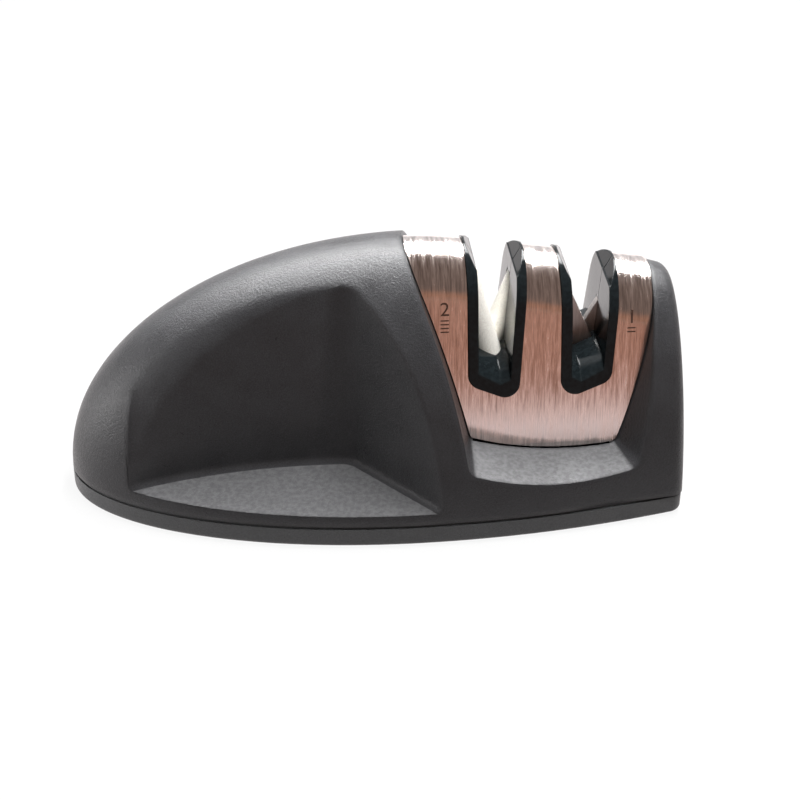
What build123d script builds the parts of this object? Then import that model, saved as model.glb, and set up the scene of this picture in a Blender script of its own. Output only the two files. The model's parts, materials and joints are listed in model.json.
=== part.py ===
"""Two-stage pull-through knife sharpener with a finger-scoop body and a steel-covered head.

Millimetres. +Z is up and the rubber feet stand on z = 0. X runs along the body from the nose to the
head end, and the tool is symmetrical about the plane y = 0, with its front towards -Y.
"""

import os
from math import cos, radians, sin, sqrt, tan

from build123d import *

os.makedirs("parts", exist_ok=True)

# Body: plan and ridge. Places near the nose are measured from nose_x and those in the head from
# head_x, so the head keeps its distance from the end face.
body_length = 150.0
body_width = 69.0
body_height = 65.4
end_width = 51.0
end_x = body_length / 2
nose_x = -end_x
head_setback = 75.0
head_x = end_x - head_setback
widest_x = head_x + 6.0
ridge_x = head_x + 11.0
crest_fall = 0.155
crest_blend = 6.0
end_lean = 0.04
end_edge_radius = 3.5
end_core_z = 30.0
wall = 2.4
rib = 2.0

# The body is lofted through arches. The first lies flat round the nose, the next stand up one after
# the other like a fan, and those from the ridge's top to the head end are upright.
fan_foot_setback = 17.0
fan_steps = 7
upright_steps = 4
arch_steps = 8
footprint_steps = 8
head_stations = 5
loft_overrun = 6.0
station_drop = 3.0
halvings = 50

# Base plate
base_height = 6.5
base_floor = 2.2
base_wall = 2.2
base_edge_radius = 1.4
reveal_depth = 0.6
reveal_height = 0.8
carrier_rib_spacing = 8.0

# Rubber feet
foot_diameter = 11.0
foot_height = 2.0
foot_stand = 0.6
foot_edge_chamfer = 0.4
foot_places = ((nose_x + 29.0, 14.0), (head_x + 54.0, 18.0))

# Finger scoops, one on each side
scoop_wall_y = 12.2
scoop_tip_x = nose_x + 14.5
scoop_bend_x = head_x - 15.0
scoop_crease_x = head_x - 6.0
scoop_facet_angle = 47.0
scoop_crease_radius = 6.0
scoop_overrun = 3.0
scoop_foot_chamfer = 1.0
brow_reach = 7.0
brow_end_reach = 0.5
brow_fade = 4.0
brow_taper = 1.5
brow_fullness = 0.43
brow_margin = 0.25
brow_stations = 9
ledge_height = 9.4
ledge_slope = 3.6

# Head: the steel-covered block and the cut-away round it, in side view
head_half_width = 17.5
head_shoulder_z = 17.6
head_lean = 9.0
cover_thickness = 0.8
cover_recess = 0.3
notch_top_z = 74.0
notch_left = ((head_x + 3.6, notch_top_z), (head_x + 14.7, 46.0), (head_x + 22.7, 19.4))
notch_right = ((head_x + 59.0, 17.0), (head_x + 65.4, 41.0), (head_x + 67.6, notch_top_z))
notch_sag = 2.1
notch_corner_radii = (1.0, 2.0)
window_left = ((head_x + 3.6, notch_top_z), (head_x + 14.6, 46.0), (head_x + 20.4, 19.4))
window_right = ((head_x + 65.4, 15.2), (head_x + 69.4, 38.0), (head_x + 67.6, notch_top_z))
window_sag = 3.0
window_corner_radii = (4.0, 6.0)

# Slots through the head: x of the left edge at slot_low_z, and the tapers of the two edges
fine_slot_x = head_x + 22.3
coarse_slot_x = head_x + 44.9
slot_width = 12.3
slot_left_taper = 0.014
slot_right_taper = 0.06
slot_low_z = 28.4
slot_high_z = 33.3
slot_corner_radius = 3.6
rim_width = 2.5
rim_proud = 0.5
valley_z = 36.0
valley_offset = 2.4
valley_rise_near = 1.1
valley_rise_far = 2.6
lead_in_depth = 3.4
lead_in_margin = 0.3
funnel_depth = 4.0
funnel_reach = 6.0

# Sharpening stages: crossed rods and crossed plates, both leaning a little to the head end
stage_tilt = 2.0
stage_gap = 0.2
rod_diameter = 6.0
rod_half_angle = 18.0
rod_crossing_x = fine_slot_x + 7.0
rod_crossing_z = 33.8
rod_foot_z = 29.2
rod_end_cover = 2.0
rod_end_chamfer = 0.4
blade_width = 6.0
blade_thickness = 2.0
blade_half_angle = 26.5
blade_crossing_x = coarse_slot_x + 7.6
blade_crossing_z = 34.8
blade_foot_z = 28.4
blade_end_cover = 4.5
blade_end_chamfer = 0.3

# Holders in the guides
holder_half_depth = 7.5
rod_holder_length = 10.8
blade_holder_length = 12.8
holder_bottom_z = 26.0
holder_height = 7.0

# Carrier plate under the guides, and the neck of the guides that stands on it
carrier_bottom_z = 7.0
carrier_thickness = 2.5
carrier_length = 46.0
carrier_width = 48.0
carrier_centre_x = head_x + 40.5
carrier_corner_radius = 6.0
carrier_window = (18.0, 20.0)
neck_left_x = head_x + 23.4
neck_right_x = head_x + 57.8
neck_top_z = 24.0
peg_diameter = 3.0
peg_height = 3.0
peg_places = ((carrier_centre_x - 12.5, 12.0), (carrier_centre_x + 13.0, 12.0))
core_z = 20.0
core_wall = 2.6
core_rib = 2.0

# Fastenings
base_screw_places = (
    (nose_x + 25.0, 0.0),
    (head_x - 16.0, 0.0),
    (head_x + 12.5, 21.0),
    (head_x + 12.5, -21.0),
    (end_x - 7.2, 13.0),
    (end_x - 7.2, -13.0),
)
boss_diameter = 6.5
boss_height = 22.0
tall_boss_height = 36.0
screw_diameter = 2.9
screw_head_diameter = 5.6
screw_head_height = 1.7
base_screw_length = 12.0
module_screw_spacing = (33.0, 41.0)
module_boss_top_z = 20.0
module_screw_diameter = 2.4
module_screw_head_diameter = 4.8
module_screw_head_height = 1.5
module_screw_length = 7.0
guide_screw_places = ((head_x + 17.2, 48.0), (head_x + 40.3, 44.0), (head_x + 61.0, 37.0))
guide_screw_diameter = 2.4
guide_screw_head_diameter = 4.4
guide_screw_head_height = 1.5
guide_screw_seat_y = 9.6
guide_screw_length = 17.0
grub_screw_diameter = 3.0
grub_screw_z = 30.4
pilot_spare = 1.0

# Clearances
fit_gap = 0.1
seat_gap = 0.05
trim_gap = 0.3
hole_gap = 0.4
head_gap = 0.6
side_margin = 1.5

# Derived places
base_bottom_z = foot_stand
base_floor_z = base_bottom_z + base_floor
carrier_top_z = carrier_bottom_z + carrier_thickness
guide_foot_z = carrier_top_z + seat_gap
outside_y = body_width / 2 + side_margin
fan_foot_start = nose_x + fan_foot_setback
head_start_x = notch_left[0][0] - wall
head_end_x = notch_right[2][0] + wall
funnel_start_y = head_half_width - funnel_reach
rod_radius = rod_diameter / 2
rod_y = rod_radius + stage_gap / 2
blade_y = blade_thickness / 2 + stage_gap / 2
FRONT, REAR = -1, 1
rod_crossing = (rod_crossing_x, rod_crossing_z)
blade_crossing = (blade_crossing_x, blade_crossing_z)
slots = ((fine_slot_x, 1), (coarse_slot_x, -1))
screw_seat_z = base_bottom_z + screw_head_height + fit_gap
pilot_depth = base_screw_length - (base_height - screw_seat_z) + pilot_spare
grub_start_y = blade_thickness + stage_gap / 2 + seat_gap
grub_length = holder_half_depth - grub_start_y - seat_gap
module_places = [
    (carrier_centre_x + x * module_screw_spacing[0] / 2, y * module_screw_spacing[1] / 2)
    for x in (-1, 1) for y in (-1, 1)
]
foot_names = ("foot_front_left", "foot_rear_left", "foot_front_right", "foot_rear_right")
foot_spots = [(x, side * y) for x, y in foot_places for side in (FRONT, REAR)]


def half_width(x, inset=0.0):
    """Half the body's width in plan: an ellipse towards the nose, a parabola towards the end."""
    widest = body_width / 2 - inset
    if x < widest_x:
        reach = widest_x - nose_x - inset
        return widest * sqrt(max(0.0, 1 - ((widest_x - x) / reach) ** 2))
    share = (x - widest_x) / (end_x - widest_x)
    return widest - (body_width - end_width) / 2 * share**2


def crest(x, inset=0.0):
    """Height of the ridge line: an ellipse over the nose, then a fall that eases into a slope."""
    top = body_height - inset
    if x < ridge_x:
        reach = ridge_x - nose_x - inset
        rise = top - base_height
        return base_height + rise * sqrt(max(0.0, 1 - ((ridge_x - x) / reach) ** 2))
    run = x - ridge_x
    return top - crest_fall * (sqrt(run**2 + crest_blend**2) - crest_blend)


def skin(x, z, inset=0.0):
    """Half-width of the body at height z: each upright section is an elliptical arch."""
    rise = crest(x, inset) - base_height
    if rise <= 0:
        return 0.0
    return half_width(x, inset) * sqrt(max(0.0, 1 - ((z - base_height) / rise) ** 2))


def ridge_distance(foot_x, foot_z, tilt, inset):
    """Distance from a station's foot to the ridge, up the station's own slope, by halving."""
    near, far = 0.0, 2 * body_length
    for _ in range(halvings):
        middle = (near + far) / 2
        x = foot_x - middle * cos(tilt)
        inside = x > nose_x + inset and foot_z + middle * sin(tilt) < crest(x, inset)
        near, far = (middle, far) if inside else (near, middle)
    return near


def stations():
    """Foot and tilt of each arch, from the nose to past the head end."""
    for step in range(fan_steps + 1):
        share = step / fan_steps
        yield fan_foot_start + (ridge_x - fan_foot_start) * share, radians(90 * share)
    for step in range(1, upright_steps + 1):
        yield ridge_x + (end_x + loft_overrun - ridge_x) * step / upright_steps, radians(90)


def arch_points(foot_x, tilt, inset):
    """Points of one arch in its own plane, from the left foot over the ridge to the right foot."""
    foot_z = base_height - station_drop
    reach = ridge_distance(foot_x, foot_z, tilt, inset)
    side = []
    for step in range(arch_steps):
        along = reach * sin(radians(90) * step / arch_steps)
        x = foot_x - along * cos(tilt)
        side.append((skin(x, foot_z + along * sin(tilt), inset), along))
    return [(-y, v) for y, v in side] + [(0.0, reach)] + side[::-1]


def body_form(inset=0.0):
    """The closed body form, offset inwards by inset."""
    with BuildPart() as form:
        for foot_x, tilt in stations():
            arch_plane = Plane(
                origin=(foot_x, 0, base_height - station_drop),
                x_dir=(0, 1, 0),
                z_dir=(sin(tilt), 0, cos(tilt)),
            )
            points = arch_points(foot_x, tilt, inset)
            with BuildSketch(arch_plane):
                with BuildLine():
                    Spline(*points)
                    Line(points[-1], points[0])
                make_face()
        loft()
    return form.part


def trim_to_ends(inset=0.0):
    """Keep what is above the base plate and short of the leaning end face."""
    with BuildSketch(Plane.XZ) as side_view:
        with BuildLine():
            Polyline(
                (nose_x - wall, base_height),
                (end_x - inset, base_height),
                (end_x - inset - end_lean * (body_height - base_height), body_height + wall),
                (nose_x - wall, body_height + wall),
                close=True,
            )
        make_face()
    extrude(side_view.sketch, amount=body_width, both=True, mode=Mode.INTERSECT)


def round_corner(sketch, corner, radius):
    """Round the corner of a sketch that lies nearest to a point."""
    fillet(sketch.vertices().sort_by_distance(corner)[0], radius)


def scoop_wall(x, grow=0.0):
    """Depth of the scoop's upright wall: flat by the crease, then bowed out to the skin at its tip."""
    if x >= scoop_bend_x:
        return scoop_wall_y - grow
    bow = half_width(scoop_tip_x) - scoop_wall_y
    radius = ((scoop_bend_x - scoop_tip_x) ** 2 + bow**2) / (2 * bow)
    return scoop_wall_y + radius - sqrt((radius + grow) ** 2 - (scoop_bend_x - x) ** 2)


def scoop_form(grow=0.0):
    """Tool for the two finger scoops: an upright prism over a gently sloping ledge."""
    angle = radians(scoop_facet_angle)
    wall_y = scoop_wall_y - grow
    left_x = scoop_tip_x - scoop_overrun - grow
    middle_x = (left_x + scoop_bend_x) / 2
    crease_x = scoop_crease_x + grow * (1 - cos(angle)) / sin(angle)
    facet_run = (outside_y - wall_y) / tan(angle)
    with BuildPart() as scoop:
        with BuildSketch(Plane.XY) as plan:
            with BuildLine():
                ThreePointArc(
                    (left_x, -scoop_wall(left_x, grow)),
                    (middle_x, -scoop_wall(middle_x, grow)),
                    (scoop_bend_x, -wall_y),
                )
                Polyline(
                    (scoop_bend_x, -wall_y),
                    (crease_x, -wall_y),
                    (crease_x + facet_run, -outside_y),
                    (left_x, -outside_y),
                    (left_x, -scoop_wall(left_x, grow)),
                )
            make_face()
            round_corner(plan, (crease_x, -wall_y), scoop_crease_radius + grow)
        extrude(amount=2 * body_height)
        with BuildSketch(Plane.YZ):
            with BuildLine():
                Polyline(
                    (-outside_y, ledge_height - grow),
                    (0, ledge_height - grow + outside_y * tan(radians(ledge_slope))),
                    (0, 2 * body_height),
                    (-outside_y, 2 * body_height),
                    close=True,
                )
            make_face()
        extrude(amount=body_length, both=True, mode=Mode.INTERSECT)
        foot = scoop.faces().sort_by(Axis.Z)[0]
        inner_edges = foot.edges().filter_by(lambda edge: edge.center().Y > side_margin - outside_y)
        chamfer(inner_edges, scoop_foot_chamfer)
        mirror(about=Plane.XZ)
    return scoop.part


def arch_height(x, y):
    """Height of the body's skin over a point of the plan."""
    rise = crest(x) - base_height
    return base_height + rise * sqrt(max(0.0, 1 - (y / half_width(x)) ** 2))


def brow_form():
    """Tool that softens the brow over each scoop: widest near the nose and almost crisp at the crease."""
    first_x = scoop_tip_x + brow_margin
    last_x = scoop_crease_x - scoop_crease_radius
    with BuildPart() as brow:
        for step in range(brow_stations):
            share = (step / (brow_stations - 1)) ** brow_taper
            x = first_x + (last_x - first_x) * share
            fade = min(1.0, sqrt((x - scoop_tip_x) / brow_fade))
            reach = (brow_end_reach + brow_reach * (1 - share)) * fade
            wall_y = scoop_wall(x)
            far_y = wall_y - reach
            edge_z, far_z = arch_height(x, wall_y), arch_height(x, far_y)
            low_z = edge_z - reach
            share_of_ends = (1 - brow_fullness) / 2
            middle = (
                -(brow_fullness * wall_y + share_of_ends * (wall_y + far_y)),
                brow_fullness * edge_z + share_of_ends * (low_z + far_z),
            )
            out_y, out_z = wall_y + reach, far_z + reach
            with BuildSketch(Plane.YZ.offset(x)):
                with BuildLine():
                    ThreePointArc((-wall_y - brow_margin, low_z), middle, (-far_y, far_z + brow_margin))
                    Polyline(
                        (-far_y, far_z + brow_margin),
                        (-far_y, out_z),
                        (-out_y, out_z),
                        (-out_y, low_z),
                        (-wall_y - brow_margin, low_z),
                    )
                make_face()
        loft()
        mirror(about=Plane.XZ)
    return brow.part


def outline(plane, left, right, sag, radii, grow=0.0):
    """Side view of the head's cut-away: two bowed sides over a sagging, round-cornered bottom."""
    left = [(x - grow, z) for x, z in left]
    right = [(x + grow, z) for x, z in right]
    low_left = (left[-1][0], left[-1][1] - grow)
    low_right = (right[0][0], right[0][1] - grow)
    middle = ((low_left[0] + low_right[0]) / 2, (low_left[1] + low_right[1]) / 2 - sag)
    with BuildSketch(plane) as sketch:
        with BuildLine():
            ThreePointArc(left[0], left[1], low_left)
            ThreePointArc(low_left, middle, low_right)
            ThreePointArc(low_right, right[1], right[2])
            Line(right[2], left[0])
        make_face()
        round_corner(sketch, low_left, radii[0] + max(grow, 0))
        round_corner(sketch, low_right, radii[1] + max(grow, 0))
    return sketch.sketch


def notch_outline(plane, grow=0.0):
    """The cut-away's side view where the cover stands."""
    return outline(plane, notch_left, notch_right, notch_sag, notch_corner_radii, grow)


def window_outline(plane, grow=0.0):
    """The cut-away's side view just outside the body's skin."""
    return outline(plane, window_left, window_right, window_sag, window_corner_radii, grow)


def notch_form(grow=0.0):
    """Tool for the cut-away: straight through at the cover, flaring out to the body's skin."""
    with BuildPart() as notch:
        for side in (FRONT, REAR):
            inner = notch_outline(Plane.XZ.offset(-side * head_half_width), grow)
            outer = window_outline(Plane.XZ.offset(-side * outside_y), grow)
            loft([inner, outer], ruled=True)
        extrude(notch_outline(Plane.XZ, grow), amount=head_half_width, both=True)
    return notch.part


def head_form(inset=0.0):
    """The head's block: leaning faces under a full-round crest that falls with the ridge."""
    lean = radians(head_lean)
    foot_y = head_half_width - inset / cos(lean)
    with BuildPart() as form:
        for step in range(head_stations):
            x = head_start_x + (head_end_x - head_start_x) * step / (head_stations - 1)
            top_z = crest(x) - cover_recess - inset
            gable = foot_y - (top_z - head_shoulder_z) * tan(lean)
            radius = gable * cos(lean) / (1 - sin(lean))
            turn = (radius * cos(lean), top_z - radius * (1 - sin(lean)))
            with BuildSketch(Plane.YZ.offset(x)):
                with BuildLine():
                    Polyline((-turn[0], turn[1]), (-foot_y, head_shoulder_z), (-foot_y, guide_foot_z))
                    Line((-foot_y, guide_foot_z), (foot_y, guide_foot_z))
                    Polyline((foot_y, guide_foot_z), (foot_y, head_shoulder_z), (turn[0], turn[1]))
                    ThreePointArc((turn[0], turn[1]), (0, top_z), (-turn[0], turn[1]))
                make_face()
        loft()
    return form.part


def slot_outline(plane, left_x, deep_side, grow=0.0):
    """Side view of a slot in the cover: a U whose bottom slants down to its deep side."""
    low_left_z = slot_high_z if deep_side > 0 else slot_low_z
    low_right_z = slot_low_z if deep_side > 0 else slot_high_z
    up = notch_top_z - slot_low_z
    low_left = (left_x - grow, low_left_z - grow)
    low_right = (left_x + slot_width + grow, low_right_z - grow)
    with BuildSketch(plane) as sketch:
        with BuildLine():
            Polyline(
                (left_x - grow - up * slot_left_taper, notch_top_z),
                low_left,
                low_right,
                (left_x + slot_width + grow + up * slot_right_taper, notch_top_z),
                close=True,
            )
        make_face()
        round_corner(sketch, low_left, slot_corner_radius + grow)
        round_corner(sketch, low_right, slot_corner_radius + grow)
    return sketch.sketch


def clear_outline(plane, left_x, deep_side, drop=0.0):
    """Side view of the knife's way through a slot: the rim's inner faces over a shallow valley."""
    low_left_x = left_x + rim_width
    low_right_x = left_x + slot_width - rim_width + (valley_z - slot_low_z) * slot_right_taper
    valley_x = low_right_x - valley_offset if deep_side > 0 else low_left_x + valley_offset
    rises = (valley_rise_far, valley_rise_near) if deep_side > 0 else (valley_rise_near, valley_rise_far)
    up = notch_top_z - valley_z
    with BuildSketch(plane) as sketch:
        with BuildLine():
            Polyline(
                (low_left_x - up * slot_left_taper, notch_top_z),
                (low_left_x, valley_z + rises[0] - drop),
                (valley_x, valley_z - drop),
                (low_right_x, valley_z + rises[1] - drop),
                (low_right_x + up * slot_right_taper, notch_top_z),
                close=True,
            )
        make_face()
    return sketch.sketch


def slot_rim(left_x, deep_side):
    """The collar that fills a slot of the cover and stands a little proud of the steel."""
    with BuildPart() as rim:
        profile = slot_outline(Plane.XZ, left_x, deep_side, -fit_gap)
        extrude(profile, amount=outside_y, both=True)
        add(head_form(-rim_proud), mode=Mode.INTERSECT)
    return rim.part


def slot_way(left_x, deep_side):
    """Tool for the knife's way: the clear slot, a funnel at each face and lead-ins at the crest."""
    with BuildPart() as way:
        extrude(clear_outline(Plane.XZ, left_x, deep_side), amount=outside_y, both=True)
        for side in (FRONT, REAR):
            inner = clear_outline(Plane.XZ.offset(-side * funnel_start_y), left_x, deep_side)
            outer_plane = Plane.XZ.offset(-side * head_half_width)
            outer = clear_outline(outer_plane, left_x, deep_side, funnel_depth)
            loft([inner, outer], ruled=True)
        rim_left = left_x + rim_width - (crest(left_x) - valley_z) * slot_left_taper
        right_x = left_x + slot_width
        rim_right = right_x - rim_width + (crest(right_x) - slot_low_z) * slot_right_taper
        with BuildSketch(Plane.XZ):
            with BuildLine():
                Polyline(
                    (rim_left - rim_width + lead_in_margin, crest(left_x) + rim_proud),
                    (rim_left, crest(left_x) - lead_in_depth),
                    (rim_right, crest(right_x) - lead_in_depth),
                    (rim_right + rim_width - lead_in_margin, crest(right_x) + rim_proud),
                    (rim_right + rim_width - lead_in_margin, notch_top_z),
                    (rim_left - rim_width + lead_in_margin, notch_top_z),
                    close=True,
                )
            make_face()
        extrude(amount=outside_y, both=True)
    return way.part


def stage_length(crossing, foot_z, half_angle, width, end_cover):
    """Length of a rod or plate that ends inside the head, with end_cover left over its higher corner."""
    lean = radians(stage_tilt + half_angle)
    foot_x = crossing[0] - (crossing[1] - foot_z) * tan(lean)
    near, far = 0.0, 2 * body_height
    for _ in range(halvings):
        middle = (near + far) / 2
        corner_x = foot_x + middle * sin(lean)
        corner_z = foot_z + middle * cos(lean) + width / 2 * sin(lean)
        inside = corner_z < crest(corner_x) - cover_recess - cover_thickness - end_cover
        near, far = (middle, far) if inside else (near, middle)
    return near


rod_length = stage_length(rod_crossing, rod_foot_z, rod_half_angle, rod_diameter, rod_end_cover)
blade_length = stage_length(blade_crossing, blade_foot_z, blade_half_angle, blade_width, blade_end_cover)


def lean_plane(crossing, foot_z, half_angle, side, y, back=0.0):
    """Plane at the foot of a rod or plate, square to its own leaning axis."""
    lean = radians(stage_tilt + side * half_angle)
    foot_x = crossing[0] - (crossing[1] - foot_z) * tan(lean)
    origin = (foot_x - back * sin(lean), side * y, foot_z - back * cos(lean))
    return Plane(origin=origin, x_dir=(0, 1, 0), z_dir=(sin(lean), 0, cos(lean)))


def rod_pocket(side):
    """Tool for a rod's seat, open towards the joint between the guides."""
    with BuildPart() as pocket:
        with BuildSketch(lean_plane(rod_crossing, rod_foot_z, rod_half_angle, side, rod_y, fit_gap)):
            Circle(rod_radius + fit_gap)
            with Locations((-side * rod_y / 2, 0)):
                Rectangle(rod_y, 2 * (rod_radius + fit_gap))
        extrude(amount=rod_length + 2 * fit_gap)
    return pocket.part


def blade_pocket(side):
    """Tool for a carbide plate's seat, open towards the joint between the guides."""
    depth = blade_thickness + stage_gap / 2 + fit_gap
    plane = lean_plane(blade_crossing, blade_foot_z, blade_half_angle, side, depth / 2, fit_gap)
    with BuildPart() as pocket:
        with BuildSketch(plane):
            Rectangle(depth, blade_width + 2 * fit_gap)
        extrude(amount=blade_length + 2 * fit_gap)
    return pocket.part


def upright_rod(place, z, diameter, height, mode=Mode.ADD):
    """A round column or hole standing at a place from height z."""
    with BuildSketch(Plane.XY.offset(z)) as round_plan:
        with Locations(place):
            Circle(diameter / 2)
    extrude(round_plan.sketch, amount=height, mode=mode)


def cross_rod(place, y, diameter, length, mode=Mode.ADD):
    """A round pin or hole that runs from depth y towards the rear, at a place in side view."""
    with BuildSketch(Plane.XZ.offset(-y)) as round_side:
        with Locations(place):
            Circle(diameter / 2)
    extrude(round_side.sketch, amount=-length, mode=mode)


def finish(builder, name):
    """Label a finished piece and write it."""
    builder.part.label = name
    export_step(builder.part, f"parts/{name}.step")


# Upper shell: a hollow moulding with walls round the scoops and round the head's cut-away
with BuildPart() as cavity:
    add(body_form(wall))
    trim_to_ends(wall)
    add(scoop_form(wall), mode=Mode.SUBTRACT)
    add(notch_form(wall), mode=Mode.SUBTRACT)
    with BuildSketch(Plane.XY.offset(end_core_z)):
        with Locations((end_x, 0)):
            Rectangle(2 * (end_x - notch_right[0][0]), body_width)
    extrude(amount=body_height, mode=Mode.SUBTRACT)

with BuildPart() as upper_shell:
    add(body_form())
    trim_to_ends()
    end_face = upper_shell.faces().sort_by(Axis.X)[-1]
    fillet(end_face.edges().sort_by(Axis.Z)[-1], end_edge_radius)
    add(cavity.part, mode=Mode.SUBTRACT)
    for x, y in base_screw_places:
        column_height = boss_height if y == 0 else tall_boss_height
        upright_rod((x, y), base_height + seat_gap, boss_diameter, column_height)
        if y == 0:
            with BuildSketch(Plane.XY.offset(ledge_height)):
                with Locations((x, 0)):
                    Rectangle(rib, 2 * scoop_wall(x))
            extrude(amount=boss_height)
    for place in module_places:
        upright_rod(place, guide_foot_z, boss_diameter, module_boss_top_z - guide_foot_z)
    add(scoop_form(), mode=Mode.SUBTRACT)
    add(brow_form(), mode=Mode.SUBTRACT)
    add(notch_form(), mode=Mode.SUBTRACT)
    with BuildSketch(Plane.XY):
        with Locations(((neck_left_x + neck_right_x) / 2, 0)):
            Rectangle(neck_right_x - neck_left_x, 2 * (head_half_width + trim_gap))
    extrude(amount=neck_top_z, mode=Mode.SUBTRACT)
    for place in base_screw_places:
        upright_rod(place, base_height, screw_diameter + fit_gap, pilot_depth, Mode.SUBTRACT)
    for place in module_places:
        depth = module_screw_length - carrier_thickness + seat_gap
        upright_rod(place, guide_foot_z, module_screw_diameter + fit_gap, depth, Mode.SUBTRACT)
finish(upper_shell, "upper_shell")


# Base plate: a shallow tray whose upper edge steps in to leave a reveal line under the shell
def footprint(height, inset=0.0):
    """Plan of the body at the parting line, drawn at a height."""
    side = []
    for step in range(1, footprint_steps):
        turn = radians(90) * step / footprint_steps
        x = widest_x - (widest_x - nose_x - inset) * cos(turn)
        side.append((x, half_width(x, inset)))
    for step in range(upright_steps + 1):
        x = widest_x + (end_x - inset - widest_x) * step / upright_steps
        side.append((x, half_width(x, inset)))
    front = [(x, -y) for x, y in side]
    with BuildSketch(Plane.XY.offset(height)) as plan:
        with BuildLine():
            Spline(*front[::-1], (nose_x + inset, 0), *side)
            Line(side[-1], front[-1])
        make_face()
        for corner in (front[-1], side[-1]):
            round_corner(plan, corner, end_edge_radius)
    return plan.sketch


with BuildPart() as base_plate:
    extrude(footprint(base_bottom_z), amount=base_height - reveal_height - base_bottom_z)
    fillet(base_plate.faces().sort_by(Axis.Z)[0].edges(), base_edge_radius)
    extrude(footprint(base_height - reveal_height, reveal_depth), amount=reveal_height)
    extrude(footprint(base_floor_z, base_wall), amount=base_height, mode=Mode.SUBTRACT)
    for place in base_screw_places:
        upright_rod(place, base_floor_z, boss_diameter, base_height - base_floor_z)
    for x in (-carrier_rib_spacing, 0.0, carrier_rib_spacing):
        with BuildSketch(Plane.XY.offset(base_floor_z)):
            with Locations((carrier_centre_x + x, 0)):
                Rectangle(rib, carrier_width - boss_diameter)
        extrude(amount=carrier_bottom_z - seat_gap - base_floor_z)
    for place in base_screw_places:
        upright_rod(place, 0, screw_head_diameter + head_gap, screw_seat_z, Mode.SUBTRACT)
        upright_rod(place, 0, screw_diameter + hole_gap, base_height, Mode.SUBTRACT)
    for place in foot_spots:
        upright_rod(place, 0, foot_diameter + 2 * fit_gap, foot_height, Mode.SUBTRACT)
finish(base_plate, "base_plate")

for name, place in zip(foot_names, foot_spots):
    with BuildPart() as foot:
        upright_rod(place, 0, foot_diameter, foot_height)
        chamfer(foot.faces().sort_by(Axis.Z)[0].edges(), foot_edge_chamfer)
    finish(foot, name)


def screw_up(place, seat_z, shank, length, head, head_height):
    """A pan-head screw driven upwards, its head under seat_z."""
    upright_rod(place, seat_z, shank, length)
    upright_rod(place, seat_z - head_height, head, head_height)


with BuildPart() as base_screws:
    for place in base_screw_places:
        screw_up(place, screw_seat_z, screw_diameter, base_screw_length,
                 screw_head_diameter, screw_head_height)
finish(base_screws, "base_screws")

# Steel cover: a thin saddle folded over the head, with both slots open at its crest
with BuildPart() as steel_cover:
    extrude(notch_outline(Plane.XZ, -trim_gap), amount=outside_y, both=True)
    add(head_form(), mode=Mode.INTERSECT)
    add(head_form(cover_thickness), mode=Mode.SUBTRACT)
    for left_x, deep_side in slots:
        cut = slot_outline(Plane.XZ, left_x, deep_side)
        extrude(cut, amount=outside_y, both=True, mode=Mode.SUBTRACT)
finish(steel_cover, "steel_cover")

# Guides: two glossy halves that fill the cover, line its slots and hold the sharpening stages
with BuildPart() as guide_block:
    extrude(notch_outline(Plane.XZ, -trim_gap), amount=outside_y, both=True)
    with BuildSketch(Plane.XZ):
        with Locations(((neck_left_x + neck_right_x) / 2, (neck_top_z + guide_foot_z) / 2)):
            Rectangle(neck_right_x - neck_left_x - 2 * trim_gap, neck_top_z - guide_foot_z)
    extrude(amount=outside_y, both=True)
    add(head_form(cover_thickness + seat_gap), mode=Mode.INTERSECT)
    for left_x, deep_side in slots:
        add(slot_rim(left_x, deep_side))
        add(slot_way(left_x, deep_side), mode=Mode.SUBTRACT)


def holder(crossing_x, length, clearance=0.0):
    """The block that grips the feet of a stage, or with a clearance the hollow that it fills."""
    depth = 2 * (holder_half_depth + clearance)
    bottom = holder_bottom_z - clearance
    with BuildPart() as block:
        with BuildSketch(Plane.XY.offset(bottom)):
            with Locations((crossing_x, 0)):
                Rectangle(length + 2 * clearance, depth)
        extrude(amount=holder_height + 2 * clearance)
    return block.part


def core_out(side):
    """Hollow the foot of a guide half from below, leaving walls and one rib."""
    span = neck_right_x - neck_left_x - 2 * core_wall - 2 * trim_gap
    bay = (span - core_rib) / 2
    middle = (neck_left_x + neck_right_x) / 2
    near, far = core_wall, head_half_width - cover_thickness - core_wall
    with BuildSketch(Plane.XY.offset(guide_foot_z)) as bays:
        with Locations(*[(middle + at * (bay + core_rib) / 2, side * (near + far) / 2) for at in (-1, 1)]):
            Rectangle(bay, far - near)
    extrude(bays.sketch, amount=core_z - guide_foot_z, mode=Mode.SUBTRACT)


def guide_half(side):
    """One half of the guide block with its seats, hollows and screw holes."""
    keep_side = Keep.TOP if side == FRONT else Keep.BOTTOM
    with BuildPart() as half:
        add(guide_block.part)
        split(bisect_by=Plane.XZ.offset(seat_gap * (1 if side == FRONT else -1)), keep=keep_side)
        add(rod_pocket(side), mode=Mode.SUBTRACT)
        add(blade_pocket(side), mode=Mode.SUBTRACT)
        add(holder(rod_crossing_x, rod_holder_length, fit_gap), mode=Mode.SUBTRACT)
        add(holder(blade_crossing_x, blade_holder_length, fit_gap), mode=Mode.SUBTRACT)
        core_out(side)
        for place in guide_screw_places:
            if side == FRONT:
                cross_rod(place, -outside_y, guide_screw_head_diameter + head_gap,
                          outside_y - guide_screw_seat_y, Mode.SUBTRACT)
                cross_rod(place, -outside_y, guide_screw_diameter + hole_gap,
                          2 * outside_y, Mode.SUBTRACT)
            else:
                cross_rod(place, -pilot_spare, guide_screw_diameter + fit_gap,
                          guide_screw_length - guide_screw_seat_y + 2 * pilot_spare, Mode.SUBTRACT)
        for x, y in peg_places:
            upright_rod((x, side * y), guide_foot_z, peg_diameter + 2 * fit_gap,
                        peg_height + fit_gap, Mode.SUBTRACT)
    return half


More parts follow.
